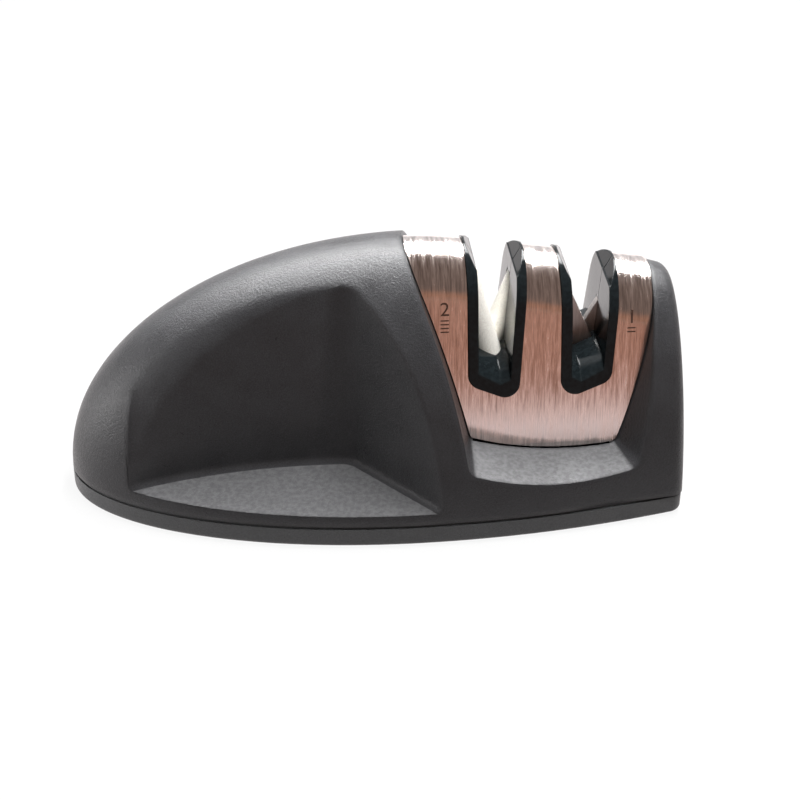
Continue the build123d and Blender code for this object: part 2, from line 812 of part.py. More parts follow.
finish(guide_half(FRONT), "guide_front")
finish(guide_half(REAR), "guide_rear")

with BuildPart() as guide_screws:
    for place in guide_screw_places:
        cross_rod(place, -guide_screw_seat_y, guide_screw_diameter, guide_screw_length)
        cross_rod(place, -guide_screw_seat_y - guide_screw_head_height, guide_screw_head_diameter,
                  guide_screw_head_height)
finish(guide_screws, "guide_screws")

# Fine stage: two ceramic rods, crossed like a V, their feet in a moulded holder
for side, name in ((FRONT, "ceramic_rod_front"), (REAR, "ceramic_rod_rear")):
    with BuildPart() as rod:
        with BuildSketch(lean_plane(rod_crossing, rod_foot_z, rod_half_angle, side, rod_y)):
            Circle(rod_radius)
        extrude(amount=rod_length)
        chamfer(rod.edges().filter_by(GeomType.CIRCLE), rod_end_chamfer)
    finish(rod, name)

with BuildPart() as rod_holder:
    add(holder(rod_crossing_x, rod_holder_length))
    for side in (FRONT, REAR):
        add(rod_pocket(side), mode=Mode.SUBTRACT)
finish(rod_holder, "rod_holder")

# Coarse stage: two carbide plates, crossed the same way, clamped by grub screws
for side, name in ((FRONT, "carbide_blade_front"), (REAR, "carbide_blade_rear")):
    with BuildPart() as blade:
        with BuildSketch(lean_plane(blade_crossing, blade_foot_z, blade_half_angle, side, blade_y)):
            Rectangle(blade_thickness, blade_width)
        extrude(amount=blade_length)
        chamfer(blade.edges().filter_by(Axis.Y), blade_end_chamfer)
    finish(blade, name)


def grub_place(side):
    """Side-view place of the grub screw that bears on a plate's foot."""
    lean = radians(stage_tilt + side * blade_half_angle)
    return (blade_crossing_x - (blade_crossing_z - grub_screw_z) * tan(lean), grub_screw_z)


with BuildPart() as blade_holder:
    add(holder(blade_crossing_x, blade_holder_length))
    for side in (FRONT, REAR):
        add(blade_pocket(side), mode=Mode.SUBTRACT)
        start_y = -holder_half_depth if side == FRONT else 0
        cross_rod(grub_place(side), start_y, grub_screw_diameter + fit_gap, holder_half_depth,
                  Mode.SUBTRACT)
finish(blade_holder, "blade_holder")

with BuildPart() as blade_screws:
    for side in (FRONT, REAR):
        start_y = grub_start_y if side == REAR else -grub_start_y - grub_length
        cross_rod(grub_place(side), start_y, grub_screw_diameter, grub_length)
finish(blade_screws, "blade_screws")

# Carrier: the plate that the guides stand on, screwed up to the shell
with BuildPart() as head_carrier:
    with BuildSketch(Plane.XY.offset(carrier_bottom_z)):
        with Locations((carrier_centre_x, 0)):
            RectangleRounded(carrier_length, carrier_width, carrier_corner_radius)
            RectangleRounded(*carrier_window, carrier_corner_radius / 2, mode=Mode.SUBTRACT)
    extrude(amount=carrier_thickness)
    for x, y in peg_places:
        for side in (FRONT, REAR):
            upright_rod((x, side * y), carrier_top_z, peg_diameter, peg_height)
    for place in module_places:
        upright_rod(place, 0, module_screw_diameter + hole_gap, carrier_top_z, Mode.SUBTRACT)
finish(head_carrier, "head_carrier")

with BuildPart() as module_screws:
    for place in module_places:
        screw_up(place, carrier_bottom_z, module_screw_diameter, module_screw_length,
                 module_screw_head_diameter, module_screw_head_height)
finish(module_screws, "module_screws")
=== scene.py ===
"""Looks of the two-stage knife sharpener: finishes, refined pieces, studio light and camera.

Sizes are in millimetres, fitted to the photo or guessed, and MM turns them into the scene's metres. +Z is
up, X runs from the rounded nose to the head end, and the front of the tool faces -Y.
"""

import json
import logging
from dataclasses import dataclass
from enum import Enum
from math import cos, radians, sin, tan

import bmesh
import bpy
import numpy as np
from mathutils import Matrix, Vector

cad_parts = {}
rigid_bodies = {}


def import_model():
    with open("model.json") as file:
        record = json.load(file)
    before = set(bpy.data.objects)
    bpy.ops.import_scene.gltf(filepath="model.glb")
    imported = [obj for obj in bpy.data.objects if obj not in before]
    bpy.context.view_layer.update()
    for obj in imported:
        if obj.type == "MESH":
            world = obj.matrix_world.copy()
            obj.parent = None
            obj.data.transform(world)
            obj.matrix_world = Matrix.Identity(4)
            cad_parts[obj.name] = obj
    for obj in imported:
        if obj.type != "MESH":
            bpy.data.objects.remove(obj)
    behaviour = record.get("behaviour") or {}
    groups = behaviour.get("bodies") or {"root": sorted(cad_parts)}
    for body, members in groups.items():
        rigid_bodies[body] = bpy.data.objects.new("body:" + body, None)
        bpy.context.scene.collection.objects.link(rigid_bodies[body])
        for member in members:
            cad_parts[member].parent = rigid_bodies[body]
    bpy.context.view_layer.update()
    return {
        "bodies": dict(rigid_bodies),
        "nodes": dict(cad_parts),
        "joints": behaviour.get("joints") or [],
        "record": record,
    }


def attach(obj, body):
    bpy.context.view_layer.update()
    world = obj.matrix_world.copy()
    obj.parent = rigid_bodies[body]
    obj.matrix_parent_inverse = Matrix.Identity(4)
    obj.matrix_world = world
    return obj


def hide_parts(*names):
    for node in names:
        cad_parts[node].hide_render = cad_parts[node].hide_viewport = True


MM = 0.001
BODY = "root"
SURFACE_WELD = 0.001 * MM
NODE_WELD = 0.002 * MM
MARK_WELD = 0.0005 * MM
FLAT_ANGLE = radians(0.2)
Colour = tuple[float, float, float]
Point = tuple[float, float, float]
log = logging.getLogger("sharpener")


class Edge(Enum):
    """How far a piece's edges look rounded, in millimetres."""

    CRISP = 0.06
    MOULDED = 0.3
    SOFT = 0.55
    BROAD = 2.4


@dataclass(frozen=True)
class Span:
    """A range of values and what it becomes: it runs smoothly between, and is held at both ends.

    Attributes:
        low: Start of the range that is read.
        high: End of the range that is read.
        to_low: What low becomes.
        to_high: What high becomes.
    """

    low: float
    high: float
    to_low: float
    to_high: float

    def in_metres(self) -> "Span":
        """Turn a range that is read in millimetres into the scene's metres."""
        return Span(self.low * MM, self.high * MM, self.to_low, self.to_high)


@dataclass(frozen=True)
class Socket:
    """A named input or output of an effect group.

    Attributes:
        name: The socket's label.
        kind: Its Blender socket type.
        value: Its default, for an input.
    """

    name: str
    kind: str = "NodeSocketFloat"
    value: float | None = None


class Graph:
    """A thin hand for wiring shader nodes in a tree."""

    def __init__(self, tree: bpy.types.NodeTree) -> None:
        """Take hold of a node tree.

        Args:
            tree: The tree to wire.
        """
        self.tree = tree

    def fill(self, node: bpy.types.Node, inputs: dict[str | int, object]) -> None:
        """Link a node's inputs, or set them where they get a plain value.

        Args:
            node: The node.
            inputs: Values or output sockets by input name or index.
        """
        for key, value in inputs.items():
            if isinstance(value, bpy.types.NodeSocket):
                self.tree.links.new(value, node.inputs[key])
            else:
                node.inputs[key].default_value = value

    def node(self, kind: str, inputs: dict[str | int, object] | None = None,
             **settings: object) -> bpy.types.Node:
        """Add a node and fill its inputs.

        Args:
            kind: The node's class name, such as ShaderNodeMath.
            inputs: Values or output sockets by input name or index.
            settings: Attributes of the node.

        Returns:
            The new node.
        """
        made = self.tree.nodes.new(kind)
        for key, value in settings.items():
            setattr(made, key, value)
        self.fill(made, inputs or {})
        return made

    def math(self, operation: str, *values: object) -> bpy.types.NodeSocket:
        """Add a math node.

        Args:
            operation: Blender's name of the operation.
            values: Its numbers or sockets, in order.

        Returns:
            The node's value output.
        """
        return self.node("ShaderNodeMath", dict(enumerate(values)), operation=operation).outputs[0]

    def ramp(self, factor: bpy.types.NodeSocket, span: Span) -> bpy.types.NodeSocket:
        """Map a value from one range to another.

        Args:
            factor: The value to map.
            span: The range, and what it becomes.

        Returns:
            The mapped value.
        """
        inputs = {"Value": factor, "From Min": span.low, "From Max": span.high,
                  "To Min": span.to_low, "To Max": span.to_high}
        return self.node("ShaderNodeMapRange", inputs, interpolation_type="SMOOTHSTEP").outputs[0]

    def mix(self, factor: bpy.types.NodeSocket, first: Colour | bpy.types.NodeSocket,
            second: Colour | bpy.types.NodeSocket) -> bpy.types.NodeSocket:
        """Blend two colours.

        Args:
            factor: Share of the second colour.
            first: Colour or socket at zero.
            second: Colour or socket at one.

        Returns:
            The blended colour.
        """
        ends = [value if isinstance(value, bpy.types.NodeSocket) else (*value, 1.0)
                for value in (first, second)]
        made = self.node("ShaderNodeMix", {0: factor, 6: ends[0], 7: ends[1]}, data_type="RGBA")
        return made.outputs[2]

    def scaled(self, colour: Colour, share: bpy.types.NodeSocket) -> bpy.types.NodeSocket:
        """Brighten or darken a colour by a value that changes over the surface.

        Args:
            colour: The linear colour.
            share: What it is multiplied by.

        Returns:
            The toned colour.
        """
        made = self.node("ShaderNodeVectorMath", {0: colour, "Scale": share}, operation="SCALE")
        return made.outputs[0]


def effect_group(name: str, inputs: list[Socket],
                 outputs: list[Socket]) -> tuple[Graph, bpy.types.bpy_prop_collection]:
    """Start a node group with its sockets.

    Args:
        name: The group's name.
        inputs: Its inputs, in order.
        outputs: Its outputs, in order.

    Returns:
        A hand to wire the group with, and what its inputs give.
    """
    tree = bpy.data.node_groups.new(name, "ShaderNodeTree")
    for socket in inputs:
        made = tree.interface.new_socket(socket.name, in_out="INPUT", socket_type=socket.kind)
        if socket.value is not None:
            made.default_value = socket.value
    for socket in outputs:
        tree.interface.new_socket(socket.name, in_out="OUTPUT", socket_type=socket.kind)
    graph = Graph(tree)
    return graph, graph.node("NodeGroupInput").outputs


@dataclass(frozen=True)
class MouldedGrain:
    """Spark-eroded plastic: small rounded pits, a finer tooth and slow cloudy changes of tone.

    Attributes:
        tooth_fineness: How many times finer than the pits the tooth is.
        cloud_scale: Scale of the clouds, in periods to the metre.
        pit_share: How much the pits count in the height, beside the tooth.
        speckle: The tone that the tooth gives.
        drift: The change of tone and gloss that the clouds give.
        dulling: The change of gloss that the pits give.
    """

    tooth_fineness: float = 2.2
    cloud_scale: float = 140.0
    pit_share: float = 0.7
    speckle: Span = Span(0.35, 0.68, 0.8, 1.25)
    drift: Span = Span(0.3, 0.7, -0.16, 0.16)
    dulling: Span = Span(0.1, 0.7, -0.05, 0.07)

    def build(self) -> bpy.types.NodeTree:
        """Wire the group.

        Returns:
            The group, with Height, Tone and Gloss outputs.
        """
        graph, given = effect_group(
            "moulded_grain",
            [Socket("Pit Size", value=0.8), Socket("Cloud", value=0.5)],
            [Socket("Height"), Socket("Tone"), Socket("Gloss")],
        )
        place = graph.node("ShaderNodeTexCoord").outputs["Object"]
        scale = graph.math("DIVIDE", 1 / MM, given["Pit Size"])
        pits = graph.node("ShaderNodeTexVoronoi", {"Vector": place, "Scale": scale}, feature="SMOOTH_F1")
        tooth_scale = graph.math("MULTIPLY", scale, self.tooth_fineness)
        tooth = graph.node("ShaderNodeTexNoise", {"Vector": place, "Scale": tooth_scale, "Detail": 3.0})
        cloud = graph.node("ShaderNodeTexNoise",
                           {"Vector": place, "Scale": self.cloud_scale, "Detail": 5.0})
        height = graph.math("ADD", graph.math("MULTIPLY", pits.outputs["Distance"], self.pit_share),
                            tooth.outputs[0])
        drift = graph.math("MULTIPLY", graph.ramp(cloud.outputs[0], self.drift), given["Cloud"])
        tone = graph.math("ADD", graph.ramp(tooth.outputs[0], self.speckle), drift)
        gloss = graph.math("ADD", drift, graph.ramp(pits.outputs["Distance"], self.dulling))
        graph.node("NodeGroupOutput", {"Height": height, "Tone": tone, "Gloss": gloss})
        return graph.tree


@dataclass(frozen=True)
class BrushedStrokes:
    """Brushed metal: streaks that run up the piece, in fine and coarse strokes of uneven length.

    Attributes:
        coarse_fineness: Fineness of the coarse strokes, as a share of the fine ones'.
        fine_share: How much the fine strokes count.
        coarse_share: How much the coarse strokes count.
        tone_gain: How much the strokes change the tone.
        gloss_gain: How much they change the gloss.
    """

    coarse_fineness: float = 0.3
    fine_share: float = 0.6
    coarse_share: float = 0.4
    tone_gain: float = 1.9
    gloss_gain: float = 0.5

    def build(self) -> bpy.types.NodeTree:
        """Wire the group: the strokes are noise on coordinates squeezed along Y and Z.

        Returns:
            The group, with Height, Tone and Gloss outputs.
        """
        graph, given = effect_group(
            "brushed_strokes",
            [Socket("Stroke Width", value=0.3), Socket("Stretch", value=14.0),
             Socket("Strength", value=1.0)],
            [Socket("Height"), Socket("Tone"), Socket("Gloss")],
        )
        place = graph.node("ShaderNodeTexCoord").outputs["Object"]
        scale = graph.math("DIVIDE", 1 / MM, given["Stroke Width"])
        squeeze = graph.math("DIVIDE", 1.0, given["Stretch"])
        lengths = graph.node("ShaderNodeCombineXYZ", {0: 1.0, 1: squeeze, 2: squeeze}).outputs[0]
        along = graph.node("ShaderNodeVectorMath", {0: place, 1: lengths}, operation="MULTIPLY").outputs[0]
        fine = graph.node("ShaderNodeTexNoise",
                          {"Vector": along, "Scale": scale, "Detail": 4.0, "Roughness": 0.62})
        coarse_scale = graph.math("MULTIPLY", scale, self.coarse_fineness)
        coarse = graph.node("ShaderNodeTexNoise", {"Vector": along, "Scale": coarse_scale, "Detail": 2.0})
        both = graph.math("ADD", graph.math("MULTIPLY", fine.outputs[0], self.fine_share),
                          graph.math("MULTIPLY", coarse.outputs[0], self.coarse_share))
        centred = graph.math("MULTIPLY", graph.math("SUBTRACT", both, 0.5), given["Strength"])
        tone = graph.math("ADD", 1.0, graph.math("MULTIPLY", centred, self.tone_gain))
        gloss = graph.math("MULTIPLY", centred, self.gloss_gain)
        graph.node("NodeGroupOutput", {"Height": both, "Tone": tone, "Gloss": gloss})
        return graph.tree


@dataclass(frozen=True)
class BrokenEdges:
    """Broken edges: the normal is averaged over a small radius, and where it turns is the edge.

    Attributes:
        samples: How many rays the averaging takes.
        edge: The mask over the cosine of the angle that the normal has turned.
    """

    samples: int = 6
    edge: Span = Span(0.85, 0.995, 1.0, 0.0)

    def build(self) -> bpy.types.NodeTree:
        """Wire the group.

        Returns:
            The group, with a Normal output and an Edge mask.
        """
        graph, given = effect_group(
            "broken_edges",
            [Socket("Radius", value=Edge.MOULDED.value * MM)],
            [Socket("Normal", "NodeSocketVector"), Socket("Edge")],
        )
        bevel = graph.node("ShaderNodeBevel", {"Radius": given["Radius"]}, samples=self.samples)
        rounded = bevel.outputs[0]
        plain = graph.node("ShaderNodeNewGeometry").outputs["Normal"]
        same = graph.node("ShaderNodeVectorMath", {0: rounded, 1: plain}, operation="DOT_PRODUCT")
        edge = graph.ramp(same.outputs["Value"], self.edge)
        graph.node("NodeGroupOutput", {"Normal": rounded, "Edge": edge})
        return graph.tree


@dataclass(frozen=True)
class LedgeDustAndSheen:
    """Dusting and painted sheen: low faces that look up are paled, more on the shelf under the slots.

    Attributes:
        highest: Height in millimetres above which nothing is paled.
        upward: The share over the upward part of the normal.
        broken: The share over the grit.
        thickness: The share over the height in millimetres, from the scoop's ledge to the shelf, which
            pales the shelf more.
        grit_scale: Scale of the grit, in periods to the metre.
    """

    highest: float = 24.0
    upward: Span = Span(0.8, 0.97, 0.0, 1.0)
    broken: Span = Span(0.3, 0.7, 0.7, 1.15)
    thickness: Span = Span(12.5, 14.5, 1.0, 1.4)
    grit_scale: float = 900.0

    def build(self) -> bpy.types.NodeTree:
        """Wire the group.

        Returns:
            The group, with its Mask output.
        """
        graph, given = effect_group("ledge_dust_and_sheen", [Socket("Highest", value=self.highest * MM)],
                                    [Socket("Mask")])
        place = graph.node("ShaderNodeTexCoord").outputs["Object"]
        height = graph.node("ShaderNodeSeparateXYZ", {0: place}).outputs["Z"]
        normal = graph.node("ShaderNodeNewGeometry").outputs["Normal"]
        facing = graph.node("ShaderNodeSeparateXYZ", {0: normal}).outputs["Z"]
        # Faces that look up are paled: dusting, and painted sheen from the light above.
        upward = graph.ramp(facing, self.upward)
        low = graph.math("LESS_THAN", height, given["Highest"])
        grit = graph.node("ShaderNodeTexNoise", {"Vector": place, "Scale": self.grit_scale, "Detail": 3.0})
        shelf_boost = graph.ramp(height, self.thickness.in_metres())
        pale_ledges = graph.math("MULTIPLY", graph.math("MULTIPLY", upward, low), shelf_boost)
        mask = graph.math("MULTIPLY", pale_ledges, graph.ramp(grit.outputs[0], self.broken))
        graph.node("NodeGroupOutput", {"Mask": mask})
        return graph.tree


class Effects:
    """The shared effects, each built once as a node group."""

    def __init__(self) -> None:
        """Build the groups."""
        self.grain = MouldedGrain().build()
        self.brushing = BrushedStrokes().build()
        self.rounding = BrokenEdges().build()
        self.dust_and_sheen = LedgeDustAndSheen().build()


def new_material(name: str) -> tuple[bpy.types.Material, Graph, bpy.types.Node]:
    """Start a material.

    Args:
        name: Its name.

    Returns:
        The material, a hand to wire it with, and its shader.
    """
    material = bpy.data.materials.new(name)
    material.use_nodes = True
    return material, Graph(material.node_tree), material.node_tree.nodes["Principled BSDF"]


@dataclass(frozen=True)
class Plastic:
    """A moulded plastic, rubber or ceramic finish.

    Attributes:
        name: The material's name.
        colour: Its linear colour.
        roughness: Its mean roughness.
        pit: Size of the grain, in millimetres.
        depth: Height of the grain's bump, in millimetres.
        edge: How far its edges look rounded.
        specular: Strength of its plain reflection.
        rub: How pale its edges are rubbed.
        cloud: How much its tone and gloss drift.
        dust_and_sheen: How much dusting and painted sheen pale its low ledges.
        dust_and_sheen_colour: The linear colour of that dusting and painted sheen.
        rub_gain: How many times paler than the colour a rubbed edge is.
        rub_lift: What is added to it besides.
    """

    name: str
    colour: Colour
    roughness: float
    pit: float
    depth: float
    edge: Edge
    specular: float = 0.5
    rub: float = 0.12
    cloud: float = 0.5
    dust_and_sheen: float = 0.0
    dust_and_sheen_colour: Colour = (0.16, 0.16, 0.165)
    rub_gain: float = 2.2
    rub_lift: float = 0.02

    def build(self, effects: Effects) -> bpy.types.Material:
        """Make the material.

        Args:
            effects: The shared effect groups.

        Returns:
            The material.
        """
        material, graph, shader = new_material(self.name)
        grain = graph.node("ShaderNodeGroup", {"Pit Size": self.pit, "Cloud": self.cloud},
                           node_tree=effects.grain)
        corner = graph.node("ShaderNodeGroup", {"Radius": self.edge.value * MM},
                            node_tree=effects.rounding)
        pale = tuple(min(1.0, channel * self.rub_gain + self.rub_lift) for channel in self.colour)
        rub = graph.math("MULTIPLY", corner.outputs["Edge"], self.rub)
        colour = graph.mix(rub, graph.scaled(self.colour, grain.outputs["Tone"]), pale)
        # Low upward faces are paled: dusting, and painted sheen from the light above.
        if self.dust_and_sheen:
            pale_ledges = graph.node("ShaderNodeGroup", node_tree=effects.dust_and_sheen)
            share = graph.math("MULTIPLY", pale_ledges.outputs["Mask"], self.dust_and_sheen)
            colour = graph.mix(share, colour, self.dust_and_sheen_colour)
        swing = graph.math("MULTIPLY", grain.outputs["Gloss"], min(1.0, self.roughness * 2))
        rough = graph.math("ADD", self.roughness, swing)
        bump = graph.node("ShaderNodeBump", {"Distance": self.depth * MM, "Strength": 1.0,
                                             "Height": grain.outputs["Height"],
                                             "Normal": corner.outputs["Normal"]})
        graph.fill(shader, {"Base Color": colour, "Roughness": rough, "Normal": bump.outputs[0],
                            "Specular IOR Level": self.specular})
        return material


@dataclass(frozen=True)
class Metal:
    """A brushed or ground metal finish.

    Attributes:
        name: The material's name.
        colour: Its linear colour.
        roughness: Its mean roughness.
        stroke: Width of a brush stroke, in millimetres.
        depth: Height of the strokes' bump, in millimetres.
        strength: How much the strokes change tone and gloss.
        edge: How far its edges look rounded.
    """

    name: str
    colour: Colour
    roughness: float
    stroke: float = 0.3
    depth: float = 0.006
    strength: float = 1.0
    edge: Edge = Edge.CRISP

    def build(self, effects: Effects) -> bpy.types.Material:
        """Make the material.

        Args:
            effects: The shared effect groups.

        Returns:
            The material.
        """
        material, graph, shader = new_material(self.name)
        strokes = graph.node("ShaderNodeGroup", {"Stroke Width": self.stroke, "Strength": self.strength},
                             node_tree=effects.brushing)
        corner = graph.node("ShaderNodeGroup", {"Radius": self.edge.value * MM},
                            node_tree=effects.rounding)
        colour = graph.scaled(self.colour, strokes.outputs["Tone"])
        rough = graph.math("ADD", self.roughness, strokes.outputs["Gloss"])
        bump = graph.node("ShaderNodeBump", {"Distance": self.depth * MM, "Strength": 1.0,
                                             "Height": strokes.outputs["Height"],
                                             "Normal": corner.outputs["Normal"]})
        graph.fill(shader, {"Base Color": colour, "Roughness": rough, "Normal": bump.outputs[0],
                            "Metallic": 1.0})
        return material


FINISHES = (
    # The shell's low ledges are paled with dusting and painted sheen.
    Plastic("shell_plastic", (0.027, 0.027, 0.029), roughness=0.36, pit=0.5, depth=0.09,
            edge=Edge.BROAD, specular=0.20, dust_and_sheen=0.50),
    Plastic("base_plastic", (0.046, 0.048, 0.050), roughness=0.46, pit=0.5, depth=0.06,
            edge=Edge.MOULDED, specular=0.33),
    Plastic("guide_plastic", (0.006, 0.008, 0.009), roughness=0.13, pit=2.0, depth=0.003,
            edge=Edge.SOFT, specular=0.15, cloud=0.2),
    Plastic("holder_plastic", (0.020, 0.020, 0.022), roughness=0.5, pit=0.8, depth=0.03,
            edge=Edge.MOULDED),
    Plastic("foot_rubber", (0.022, 0.022, 0.022), roughness=0.72, pit=0.4, depth=0.05,
            edge=Edge.MOULDED, specular=0.3),
    Plastic("rod_ceramic", (0.95, 0.92, 0.85), roughness=0.34, pit=0.35, depth=0.01,
            edge=Edge.CRISP, rub=0.0, cloud=0.15),
    Metal("cover_steel", (0.68, 0.61, 0.58), roughness=0.18, strength=1.2),
    Metal("plate_carbide", (0.56, 0.52, 0.50), roughness=0.42, stroke=0.2, strength=0.7),
    Metal("screw_steel", (0.56, 0.56, 0.58), roughness=0.30, stroke=0.25, strength=0.5),
    Metal("etched_steel", (0.16, 0.12, 0.10), roughness=0.55, stroke=0.2, strength=0.5),
)


def placed(name: str, data: bpy.types.ID) -> bpy.types.Object:
    """Put a mesh, a lamp or a camera in the scene.

    Args:
        name: The object's name.
        data: What it holds.

    Returns:
        The object, at the origin.
    """
    made = bpy.data.objects.new(name, data)
    bpy.context.scene.collection.objects.link(made)
    return made


def put_mesh(name: str, points: np.ndarray, faces: np.ndarray) -> bpy.types.Object:
    """Make an object of quads from arrays, with its place in its mesh.

    Args:
        name: The piece's name.
        points: Vertices in millimetres, one row each.
        faces: Vertex numbers, four to a row.

    Returns:
        The object, at the origin.
    """
    mesh = bpy.data.meshes.new(name)
    mesh.from_pydata((points * MM).tolist(), [], faces.tolist())
    mesh.update()
    return placed(name, mesh)


def dress(piece: bpy.types.Object, material: bpy.types.Material) -> None:
    """Give a piece its one material."""
    piece.data.materials.clear()
    piece.data.materials.append(material)


def seal(piece: bpy.types.Object, smooth: float) -> None:
    """Close the seams and poles of a new surface, turn its faces outwards and shade it.

    Args:
        piece: The piece to close.
        smooth: Angle in degrees past which edges stay sharp.
    """
    work = bmesh.new()
    work.from_mesh(piece.data)
    bmesh.ops.remove_doubles(work, verts=work.verts, dist=SURFACE_WELD)
    bmesh.ops.recalc_face_normals(work, faces=work.faces)
    work.to_mesh(piece.data)
    work.free()
    piece.data.shade_smooth()
    piece.data.set_sharp_from_angle(angle=radians(smooth))


def turned(radius: np.ndarray, height: np.ndarray, sides: int) -> tuple[np.ndarray, np.ndarray]:
    """Carry a profile round the Z axis: a point is (r cos a, r sin a, z) at each of the equal angles a.

    Args:
        radius: Distance from the axis, one row per point of the profile and one column per angle,
            or one column for all.
        height: Height of the same points, in the same form.
        sides: How many angles there are.

    Returns:
        The points and the faces of four that join them.
    """
    angle = np.linspace(0.0, 2.0 * np.pi, sides, endpoint=False)[None, :]
    rows = radius.shape[0]
    points = np.stack([radius * np.cos(angle), radius * np.sin(angle),
                       np.broadcast_to(height, (rows, sides))], axis=-1).reshape(-1, 3)
    row, column = np.meshgrid(np.arange(rows - 1), np.arange(sides), indexing="ij")
    after = (column + 1) % sides
    corners = (row * sides + column, row * sides + after,
               (row + 1) * sides + after, (row + 1) * sides + column)
    return points, np.stack(corners, axis=-1).reshape(-1, 4)


def repeated(points: np.ndarray, faces: np.ndarray, places: np.ndarray) -> tuple[np.ndarray, np.ndarray]:
    """Set the same surface at several places, as one mesh.

    Args:
        points: Its points.
        faces: Its faces.
        places: Where its own origin goes, one row each.

    Returns:
        All the points and all the faces.
    """
    spread = (points[None, :, :] + places[:, None, :]).reshape(-1, 3)
    steps = np.arange(len(places))[:, None, None] * len(points)
    return spread, (faces[None, :, :] + steps).reshape(-1, 4)


@dataclass
class Workshop:
    """What every sub-assembly builds with.

    Attributes:
        frame: The loaded frame.
        finishes: The materials by name.
    """

    frame: dict
    finishes: dict[str, bpy.types.Material]

    def fit(self, piece: bpy.types.Object, node: str) -> None:
        """Let a finished piece stand for a node, on its body and in the finish of its record's row.

        Args:
            piece: The finished piece.
            node: The node that it stands for.
        """
        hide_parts(node)
        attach(piece, BODY)
        rows = self.frame["record"]["subparts"]
        finish = next(row["material_slot"] for row in rows if row["node"] == node)
        dress(piece, self.finishes[finish])
        log.info("%s finished", node)

    def refine(self, node: str, smooth: float = 34.0) -> None:
        """Copy a node's mesh, merge its loose triangles, shade it smooth and let it stand for the node.

        Args:
            node: The node's name.
            smooth: Angle in degrees past which edges stay sharp.
        """
        mesh = self.frame["nodes"][node].data.copy()
        work = bmesh.new()
        work.from_mesh(mesh)
        bmesh.ops.remove_doubles(work, verts=work.verts, dist=NODE_WELD)
        bmesh.ops.dissolve_limit(work, angle_limit=FLAT_ANGLE, verts=work.verts, edges=work.edges,
                                 delimit={"SEAM"})
        work.to_mesh(mesh)
        work.free()
        if mesh.attributes.get("custom_normal"):
            mesh.attributes.remove(mesh.attributes["custom_normal"])
        mesh.shade_smooth()
        mesh.set_sharp_from_angle(angle=radians(smooth))
        mesh.name = node + "_finished"
        self.fit(placed(mesh.name, mesh), node)


@dataclass
class Housing:
    """The moulded shell and the base plate that closes it.

    Attributes:
        shell_smooth: Angle in degrees past which the shell's edges stay sharp.
        plate_smooth: The same for the base plate.
    """

    shell_smooth: float = 40.0
    plate_smooth: float = 34.0

    def build(self, shop: Workshop) -> None:
        """Refine the two mouldings."""
        shop.refine("upper_shell", self.shell_smooth)
        shop.refine("base_plate", self.plate_smooth)


@dataclass
class SlotHead:
    """The head: carrier, two guide halves and the steel cover folded over them.

    Attributes:
        cover_smooth: Angle in degrees past which the steel's edges stay sharp.
        guide_smooth: The same for the guides.
    """

    cover_smooth: float = 30.0
    guide_smooth: float = 34.0

    def build(self, shop: Workshop) -> None:
        """Refine the carrier, the guides and the cover.

        Args:
            shop: The workshop.
        """
        shop.refine("head_carrier")
        for node in ("guide_front", "guide_rear"):
            shop.refine(node, self.guide_smooth)
        shop.refine("steel_cover", self.cover_smooth)


@dataclass
class FineStage:
    """Two crossed ceramic rods in their holder.

    Attributes:
        rod_smooth: Angle in degrees past which a rod's edges stay sharp.
    """

    rod_smooth: float = 40.0

    def build(self, shop: Workshop) -> None:
        """Refine the holder and the rods.

        Args:
            shop: The workshop.
        """
        shop.refine("rod_holder")
        for node in ("ceramic_rod_front", "ceramic_rod_rear"):
            shop.refine(node, self.rod_smooth)


@dataclass
class CoarseStage:
    """Two crossed carbide plates, clamped in their holder.

    Attributes:
        plate_smooth: Angle in degrees past which a plate's edges stay sharp.
    """

    plate_smooth: float = 20.0

    def build(self, shop: Workshop) -> None:
        """Refine the holder, the plates and their clamping screws.

        Args:
            shop: The workshop.
        """
        shop.refine("blade_holder")
        for node in ("carbide_blade_front", "carbide_blade_rear"):
            shop.refine(node, self.plate_smooth)
        shop.refine("blade_screws")


